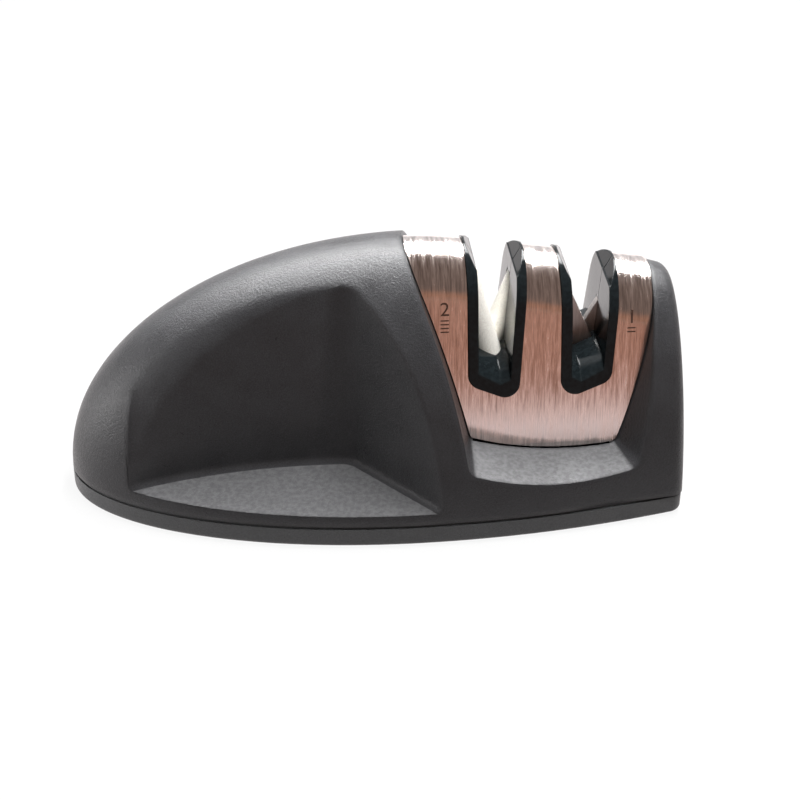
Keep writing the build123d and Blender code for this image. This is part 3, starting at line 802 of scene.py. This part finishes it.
@dataclass(frozen=True)
class Screw:
    """A self-tapping screw with a domed head and a cross recess.

    Attributes:
        thread: Diameter over the thread.
        head: Diameter of the head.
        head_height: Height of the head.
        length: Length under the head.
        pitch: Rise of the thread in one turn.
        thread_depth: How deep the thread is cut.
        point: Length of the tapering point.
        dome: How far the head's face falls from its middle to its rim.
        recess: How deep the cross is.
        arm_reach: Half the length of the cross, as a share of the head's radius.
        arm_width: Half the width of its arms, as a share of the head's radius.
        arm_slope: Run of the slope of an arm's sides, as such a share.
        end_slope: Run of the slope of an arm's end, as such a share.
        face_reach: How far out the face's points go, as such a share.
        face_rings: How many rings of points the face has.
        rim: How far the rim's edge lies above the edge of the dome.
        turn_rings: How many rings of points the thread has in one turn.
        taper: The power by which the point narrows.
        sides: How many points go round.
    """

    thread: float
    head: float
    head_height: float
    length: float
    pitch: float = 1.1
    thread_depth: float = 0.38
    point: float = 1.6
    dome: float = 0.35
    recess: float = 0.85
    arm_reach: float = 0.62
    arm_width: float = 0.17
    arm_slope: float = 0.07
    end_slope: float = 0.16
    face_reach: float = 0.96
    face_rings: int = 26
    rim: float = 0.12
    turn_rings: int = 8
    taper: float = 0.7
    sides: int = 64

    def _head(self) -> tuple[np.ndarray, np.ndarray]:
        """Work out the head's face and side.

        The face falls from its middle as a parabola. A cross is sunk in it: the depth is full where
        the lesser of |x| and |y| is inside an arm's width and the greater inside its reach, and both
        walls slope.

        Returns:
            Radius and height, one row per point of the profile.
        """
        radius = self.head / 2
        angle = np.linspace(0.0, 2.0 * np.pi, self.sides, endpoint=False)[None, :]
        out = np.linspace(0.0, self.face_reach, self.face_rings)[:, None]
        across = np.abs(out * np.cos(angle)), np.abs(out * np.sin(angle))
        width = np.clip((self.arm_width - np.minimum(*across)) / self.arm_slope, 0.0, 1.0)
        reach = np.clip((self.arm_reach - np.maximum(*across)) / self.end_slope, 0.0, 1.0)
        face = -self.head_height + self.dome * out**2 + self.recess * width * reach
        side_height = np.array([self.dome - self.head_height + self.rim, 0.0])[:, None]
        wide = np.ones((1, self.sides))
        return (np.vstack([out * radius * wide, np.full((2, self.sides), radius)]),
                np.vstack([face, side_height * wide]))

    def _shank(self) -> tuple[np.ndarray, np.ndarray]:
        """Work out the threaded shank and its point.

        The radius swings between the thread's root and its crest as a triangle wave of height over
        pitch less the share of a turn, and narrows to nothing along the point.

        Returns:
            Radius and height, one row per point of the profile.
        """
        turn = np.linspace(0.0, 1.0, self.sides, endpoint=False)[None, :]
        rings = int(self.length / self.pitch * self.turn_rings) + 1
        height = np.linspace(0.0, self.length, rings)[:, None]
        wave = np.abs(2.0 * ((height / self.pitch - turn) % 1.0) - 1.0)
        narrow = np.clip((self.length - height) / self.point, 0.0, 1.0) ** self.taper
        radius = (self.thread / 2 - self.thread_depth * (1.0 - wave)) * narrow
        return radius, height * np.ones((1, self.sides))

    def surface(self) -> tuple[np.ndarray, np.ndarray]:
        """Join head and shank, seat at zero, head below it and point above it.

        Returns:
            The points and the faces.
        """
        head, shank = self._head(), self._shank()
        return turned(np.vstack([head[0], shank[0]]), np.vstack([head[1], shank[1]]), self.sides)


@dataclass
class Fastenings:
    """The screws that hold the base plate, the head and the two guide halves.

    Attributes:
        base_screw: The screw of the base plate.
        base_places: Where they stand.
        base_seat: Height of the base screws' seat.
        module_screw: The screw of the head's carrier.
        module_middle: Middle of the carrier's four screws along X.
        module_spacing: How far apart they are along X and Y.
        module_seat: Height of their seat.
        guide_screw: The screw across the guides.
        guide_places: Where these cross, as X and Z.
        guide_seat: Depth of their seat from the middle.
        smooth: Angle in degrees past which edges stay sharp.
    """

    base_screw: Screw = Screw(thread=2.9, head=5.6, head_height=1.7, length=12.0)
    base_places: tuple[tuple[float, float], ...] = (
        (-50.0, 0.0), (-16.0, 0.0), (12.5, -21.0), (12.5, 21.0), (67.8, -13.0), (67.8, 13.0))
    base_seat: float = 2.4
    module_screw: Screw = Screw(thread=2.4, head=4.8, head_height=1.5, length=7.0,
                                pitch=0.95, thread_depth=0.32)
    module_middle: float = 40.5
    module_spacing: tuple[float, float] = (33.0, 41.0)
    module_seat: float = 7.0
    guide_screw: Screw = Screw(thread=2.4, head=4.4, head_height=1.5, length=17.0,
                               pitch=0.95, thread_depth=0.32)
    guide_places: tuple[tuple[float, float], ...] = ((17.2, 48.0), (40.3, 44.0), (61.0, 37.0))
    guide_seat: float = 9.6
    smooth: float = 35.0

    def _make(self, shop: Workshop, node: str, screw: Screw, places: np.ndarray,
              across: bool = False) -> None:
        """Make a group of screws and let it stand for its node.

        Args:
            shop: The workshop.
            node: The node's name.
            screw: The screw that repeats.
            places: Where each one's seat is, one row each.
            across: True where the screws lie along Y.
        """
        points, faces = screw.surface()
        if across:
            points = points[:, (0, 2, 1)] * np.array([1.0, 1.0, -1.0])
        piece = put_mesh(node + "_finished", *repeated(points, faces, places))
        seal(piece, self.smooth)
        shop.fit(piece, node)

    def build(self, shop: Workshop) -> None:
        """Make the three groups of screws.

        Args:
            shop: The workshop.
        """
        seats = np.insert(self.base_places, 2, self.base_seat, axis=1)
        self._make(shop, "base_screws", self.base_screw, seats)
        signs = np.array([(-1, -1), (-1, 1), (1, -1), (1, 1)])
        corners = signs * np.array(self.module_spacing) / 2 + np.array((self.module_middle, 0.0))
        seats = np.insert(corners, 2, self.module_seat, axis=1)
        self._make(shop, "module_screws", self.module_screw, seats)
        seats = np.insert(self.guide_places, 1, -self.guide_seat, axis=1)
        self._make(shop, "guide_screws", self.guide_screw, seats, across=True)


@dataclass
class Feet:
    """Four rubber feet in the base plate.

    Attributes:
        radius: A foot's radius.
        height: Its height.
        edge: How far its lower edge is broken.
        grooves: Radii of the grip rings in its sole.
        groove_width: Half the width of a ring.
        groove_depth: How deep a ring is.
        places: Where each foot stands, by its node.
        smooth: Angle in degrees past which edges stay sharp.
        sole_rings: How many rings of points the sole has.
        edge_rings: How many the broken edge has.
        sides: How many points go round.
    """

    radius: float = 5.5
    height: float = 2.0
    edge: float = 0.4
    grooves: tuple[float, ...] = (1.6, 2.8, 4.0)
    groove_width: float = 0.32
    groove_depth: float = 0.3
    places: tuple[tuple[str, float, float], ...] = (
        ("foot_front_left", -46.0, -14.0), ("foot_rear_left", -46.0, 14.0),
        ("foot_front_right", 54.0, -18.0), ("foot_rear_right", 54.0, 18.0))
    smooth: float = 50.0
    sole_rings: int = 70
    edge_rings: int = 6
    sides: int = 72

    def build(self, shop: Workshop) -> None:
        """Make the feet: the sole is flat but for rings whose section is half a wave.

        Args:
            shop: The workshop.
        """
        out = np.linspace(0.0, self.radius - self.edge, self.sole_rings)
        ring = np.abs(out[:, None] - np.array(self.grooves)[None, :]) / self.groove_width
        sole = (self.groove_depth * np.cos(np.clip(ring, 0.0, 1.0) * np.pi / 2)).max(axis=1)
        quarter = np.linspace(0.0, np.pi / 2, self.edge_rings + 1)[1:]
        radius = np.concatenate([out, self.radius - self.edge * (1.0 - np.sin(quarter)),
                                 (self.radius, 0.0)])
        height = np.concatenate([sole, self.edge * (1.0 - np.cos(quarter)), (self.height, self.height)])
        points, faces = turned(radius[:, None], height[:, None], self.sides)
        for node, x, y in self.places:
            piece = put_mesh(node + "_finished", points + np.array((x, y, 0.0)), faces)
            seal(piece, self.smooth)
            shop.fit(piece, node)


@dataclass
class EtchedMarks:
    """Plain numbers and bars etched in the steel face: the stage's place in the order of use.

    Attributes:
        face_foot: Depth and height of the steel face's foot.
        face_lean: How far the face leans back, in degrees.
        proud: How far a mark stands out of the face.
        thickness: How thick a mark is.
        digit_height: Height of a number.
        digit_share: That height as a share of the size of the letters' body.
        marks: Number, X and height of each mark's middle, and how many bars stand under it.
        bar: Width and height of a bar.
        bar_step: How far apart the bars are.
    """

    face_foot: tuple[float, float] = (-17.5, 17.6)
    face_lean: float = 9.0
    proud: float = 0.015
    thickness: float = 0.06
    digit_height: float = 3.4
    digit_share: float = 0.7
    marks: tuple[tuple[str, float, float, int], ...] = (("2", 16.6, 52.5, 4), ("1", 61.6, 49.0, 2))
    bar: tuple[float, float] = (2.0, 0.32)
    bar_step: float = 0.95

    def _on_face(self, x: float, z: float) -> Matrix:
        """Find the place on the steel face at an X and a height: own X along X, own Y up the lean.

        Args:
            x: Where it is along the tool.
            z: Its height.

        Returns:
            The transform, in metres.
        """
        lean = radians(self.face_lean)
        out = Vector((0.0, -cos(lean), sin(lean)))
        up = Vector((0.0, sin(lean), cos(lean)))
        foot_y, foot_z = self.face_foot
        sunk = self.thickness / 2 - self.proud
        spot = Vector((x, foot_y + (z - foot_z) * tan(lean), z)) - out * sunk
        turn = Matrix((Vector((1.0, 0.0, 0.0)), up, out)).transposed().to_4x4()
        return Matrix.Translation(spot * MM) @ turn

    def _digit(self, figure: str, x: float, z: float) -> bmesh.types.BMesh:
        """Cut a number as a thin closed mesh and lay it on the face.

        Args:
            figure: The number.
            x: Where its middle is along the tool.
            z: The height of its middle.

        Returns:
            The number's mesh.
        """
        curve = bpy.data.curves.new("digit_" + figure, "FONT")
        curve.body = figure
        curve.size = self.digit_height * MM / self.digit_share
        curve.extrude = self.thickness / 2 * MM
        curve.align_x, curve.align_y = "CENTER", "CENTER"
        holder = bpy.data.objects.new(curve.name, curve)
        mesh = bpy.data.meshes.new_from_object(holder)
        mesh.transform(self._on_face(x, z))
        work = bmesh.new()
        work.from_mesh(mesh)
        bpy.data.objects.remove(holder)
        bpy.data.curves.remove(curve)
        bpy.data.meshes.remove(mesh)
        return work

    def build(self, shop: Workshop) -> None:
        """Etch each number with its bars under it, as one piece each.

        Args:
            shop: The workshop.
        """
        for figure, x, z, bars in self.marks:
            work = self._digit(figure, x, z)
            for step in range(bars):
                low = z - self.digit_height / 2 - self.bar_step * (step + 1)
                size = Matrix.Diagonal((self.bar[0] * MM, self.bar[1] * MM, self.thickness * MM, 1.0))
                bmesh.ops.create_cube(work, size=1.0, matrix=self._on_face(x, low) @ size)
            bmesh.ops.remove_doubles(work, verts=work.verts, dist=MARK_WELD)
            bmesh.ops.recalc_face_normals(work, faces=work.faces)
            mesh = bpy.data.meshes.new("etched_" + figure)
            work.to_mesh(mesh)
            work.free()
            piece = placed(mesh.name, mesh)
            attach(piece, BODY)
            dress(piece, shop.finishes["etched_steel"])
            log.info("%s finished", piece.name)


@dataclass(frozen=True)
class Lamp:
    """A soft rectangular lamp.

    Attributes:
        name: Its name.
        place: Where it hangs, in millimetres.
        aim: The point that it faces.
        size: Its width and height.
        power: Its power in watts.
        lights: False where it gives sheen alone.
        shines: False where it stays out of reflections.
    """

    name: str
    place: Point
    aim: Point
    size: tuple[float, float]
    power: float
    lights: bool = True
    shines: bool = True

    def hang(self) -> None:
        """Hang the lamp and turn it to its aim."""
        light = bpy.data.lights.new(self.name, "AREA")
        light.shape = "RECTANGLE"
        light.size, light.size_y = self.size[0] * MM, self.size[1] * MM
        light.energy = self.power
        lamp = placed(self.name, light)
        lamp.location = Vector(self.place) * MM
        facing = Vector(self.aim) - Vector(self.place)
        lamp.rotation_euler = facing.to_track_quat("-Z", "Y").to_euler()
        lamp.visible_diffuse = self.lights
        lamp.visible_glossy = self.shines


@dataclass(frozen=True)
class Viewpoint:
    """The camera at the photograph's view.

    Attributes:
        place: Where it stands, in millimetres.
        way: The direction it looks in.
        roll: Its turn about that direction, in degrees.
        focal_pixels: Its focal length in pixels of the frame.
        frame_pixels: The frame's width in pixels.
        sensor: The sensor's width in millimetres.
        nearest: Distance from which it sees, in millimetres.
    """

    place: Point = (-28.58, -391.61, 266.22)
    way: Point = (0.07723, 0.84453, -0.52991)
    roll: float = 0.43
    focal_pixels: float = 1851.0
    frame_pixels: float = 800.0
    sensor: float = 36.0
    nearest: float = 10.0

    def build(self) -> None:
        """Place the camera from its point, its direction and its roll."""
        ahead = Vector(self.way).normalized()
        right = ahead.cross(Vector((0, 0, 1))).normalized()
        up = right.cross(ahead)
        turn = radians(self.roll)
        rolled = right * cos(turn) + up * sin(turn)
        lifted = rolled.cross(ahead)
        camera = placed("camera", bpy.data.cameras.new("camera"))
        turned_to = Matrix((rolled, lifted, -ahead)).transposed().to_4x4()
        camera.matrix_world = Matrix.Translation(Vector(self.place) * MM) @ turned_to
        camera.data.sensor_width = self.sensor
        camera.data.lens = self.focal_pixels / self.frame_pixels * self.sensor
        camera.data.clip_start = self.nearest * MM
        bpy.context.scene.camera = camera


@dataclass(frozen=True)
class FloorPaper:
    """White paper that keeps a faint shadow, and a painted reflection that only gloss shows, by Y in
    millimetres.

    Attributes:
        width: Width of the floor.
        gap: How far it lies under the feet, so that the two faces don't meet.
        paper: Its colour under the lamps, which makes the shadow.
        seen: Its glow for the camera.
        close: Where the tool's own place begins.
        close_glow: Its glow there.
        near_glow: Its glow in front of that.
        dip_front: Where a painted dark band across that begins to fade in.
        dip_back: Where the band has faded out.
        dip_glow: Its glow in the band.
        warm: Where the glow turns warm.
        warm_glow: The warm glow.
        gone: Where it turns to the room's tone.
        gone_glow: Its glow there.
    """

    width: float = 4000.0
    gap: float = 0.03
    paper: Colour = (0.05, 0.05, 0.05)
    seen: Colour = (0.91, 0.91, 0.91)
    close: Span = Span(-52.0, -40.0, 0.0, 1.0)
    close_glow: Colour = (1.35, 1.28, 1.28)
    near_glow: Colour = (1.10, 0.98, 1.00)
    dip_front: Span = Span(-88.0, -78.0, 0.0, 1.0)
    dip_back: Span = Span(-68.0, -54.0, 1.0, 0.0)
    dip_glow: Colour = (0.04, 0.04, 0.04)
    warm: Span = Span(-143.5, -82.0, 1.0, 0.0)
    warm_glow: Colour = (0.35, 0.12, 0.055)
    gone: Span = Span(-430.0, -258.0, 1.0, 0.0)
    gone_glow: Colour = (0.36, 0.19, 0.13)

    def _glow(self, graph: Graph) -> bpy.types.NodeSocket:
        """Wire the painted reflection that gloss sees, band over band from the tool out to the front.

        Args:
            graph: The material's graph.

        Returns:
            The colour.
        """
        place = graph.node("ShaderNodeTexCoord").outputs["Object"]
        depth = graph.node("ShaderNodeSeparateXYZ", {0: place}).outputs["Y"]
        close, front, back, warm, gone = (
            graph.ramp(depth, span.in_metres())
            for span in (self.close, self.dip_front, self.dip_back, self.warm, self.gone))
        near = graph.mix(graph.math("MULTIPLY", back, front), self.near_glow, self.dip_glow)
        near = graph.mix(close, near, self.close_glow)
        return graph.mix(gone, graph.mix(warm, near, self.warm_glow), self.gone_glow)

    def build(self) -> None:
        """Lay the paper and dress it."""
        half = self.width / 2
        corners = np.array([(-half, -half, 0), (half, -half, 0), (half, half, 0), (-half, half, 0)])
        corners = corners - np.array((0.0, 0.0, self.gap))
        floor = put_mesh("floor", corners, np.array([(0, 1, 2, 3)]))
        material, graph, shader = new_material("floor_paper")
        path = graph.node("ShaderNodeLightPath").outputs
        # The camera sees plain white paper; reflections see the painted glow.
        glow = graph.mix(path["Is Camera Ray"], self._glow(graph), self.seen)
        shown = graph.math("MAXIMUM", path["Is Camera Ray"], path["Is Glossy Ray"])
        graph.fill(shader, {"Base Color": (*self.paper, 1.0), "Roughness": 1.0, "Specular IOR Level": 0.0,
                            "Emission Color": glow, "Emission Strength": shown})
        dress(floor, material)


@dataclass(frozen=True)
class Room:
    """A bright wall behind and to the left, and a dim warm room in front.

    Attributes:
        behind: Share of the bright wall over the way's Y.
        left: The same over its X.
        low: Share of the low, warm part of the front over the way's Z.
        wall: The bright wall's light.
        wall_mirrored: What gloss shows of it.
        front: The light of the room in front.
        front_mirrored: What gloss shows of it.
        low_mirrored: What gloss shows of its low part.
        seen: What the camera sees.
    """

    behind: Span = Span(0.1, 0.55, 0.0, 1.0)
    left: Span = Span(-0.95, -0.35, 0.3, 0.0)
    low: Span = Span(0.02, 0.3, 1.0, 0.0)
    wall: Colour = (1.0, 1.0, 1.0)
    wall_mirrored: Colour = (0.78, 0.78, 0.80)
    front: Colour = (0.32, 0.30, 0.28)
    front_mirrored: Colour = (0.205, 0.155, 0.135)
    low_mirrored: Colour = (0.42, 0.23, 0.16)
    seen: Colour = (1.0, 1.0, 1.0)

    def build(self) -> None:
        """Light the world."""
        world = bpy.data.worlds.new("studio")
        bpy.context.scene.world = world
        world.use_nodes = True
        graph = Graph(world.node_tree)
        place = graph.node("ShaderNodeTexCoord").outputs["Generated"]
        way = graph.node("ShaderNodeSeparateXYZ", {0: place}).outputs
        path = graph.node("ShaderNodeLightPath").outputs
        bright = graph.math("MAXIMUM", graph.ramp(way["Y"], self.behind), graph.ramp(way["X"], self.left))
        mirrored = graph.mix(graph.ramp(way["Z"], self.low), self.front_mirrored, self.low_mirrored)
        front = graph.mix(path["Is Glossy Ray"], self.front, mirrored)
        back = graph.mix(path["Is Glossy Ray"], self.wall, self.wall_mirrored)
        shown = graph.mix(path["Is Camera Ray"], graph.mix(bright, front, back), self.seen)
        graph.fill(world.node_tree.nodes["Background"], {"Color": shown})


@dataclass(frozen=True)
class Studio:
    """Camera, floor, room and lamps.

    Attributes:
        camera: The camera.
        floor: The floor.
        room: The room's light.
        lamps: The lamps.
    """

    camera: Viewpoint = Viewpoint()
    floor: FloorPaper = FloorPaper()
    room: Room = Room()
    lamps: tuple[Lamp, ...] = (
        Lamp("back_softbox", (0, 325, 520), aim=(0, 0, 20), size=(760, 300), power=26.0, lights=False),
        Lamp("left_softbox", (-560, 10, 70), aim=(-20, 0, 20), size=(360, 140), power=2.3),
        Lamp("overhead_strip", (95, 2, 545), aim=(0, 2, 0), size=(600, 60), power=9.0, shines=False),
    )

    def build(self) -> None:
        """Set the view and the light."""
        bpy.context.scene.view_settings.view_transform = "Standard"
        self.camera.build()
        self.floor.build()
        self.room.build()
        for lamp in self.lamps:
            lamp.hang()


def main() -> None:
    """Build the sharpener's pieces in order, then the studio."""
    logging.basicConfig(level=logging.INFO, format="%(name)s: %(message)s")
    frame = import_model()
    effects = Effects()
    shop = Workshop(frame, {finish.name: finish.build(effects) for finish in FINISHES})
    for assembly in (Housing(), SlotHead(), FineStage(), CoarseStage(), Fastenings(), Feet(),
                     EtchedMarks()):
        assembly.build(shop)
        log.info("%s done", type(assembly).__name__)
    Studio().build()


if __name__ == "__main__":
    main()
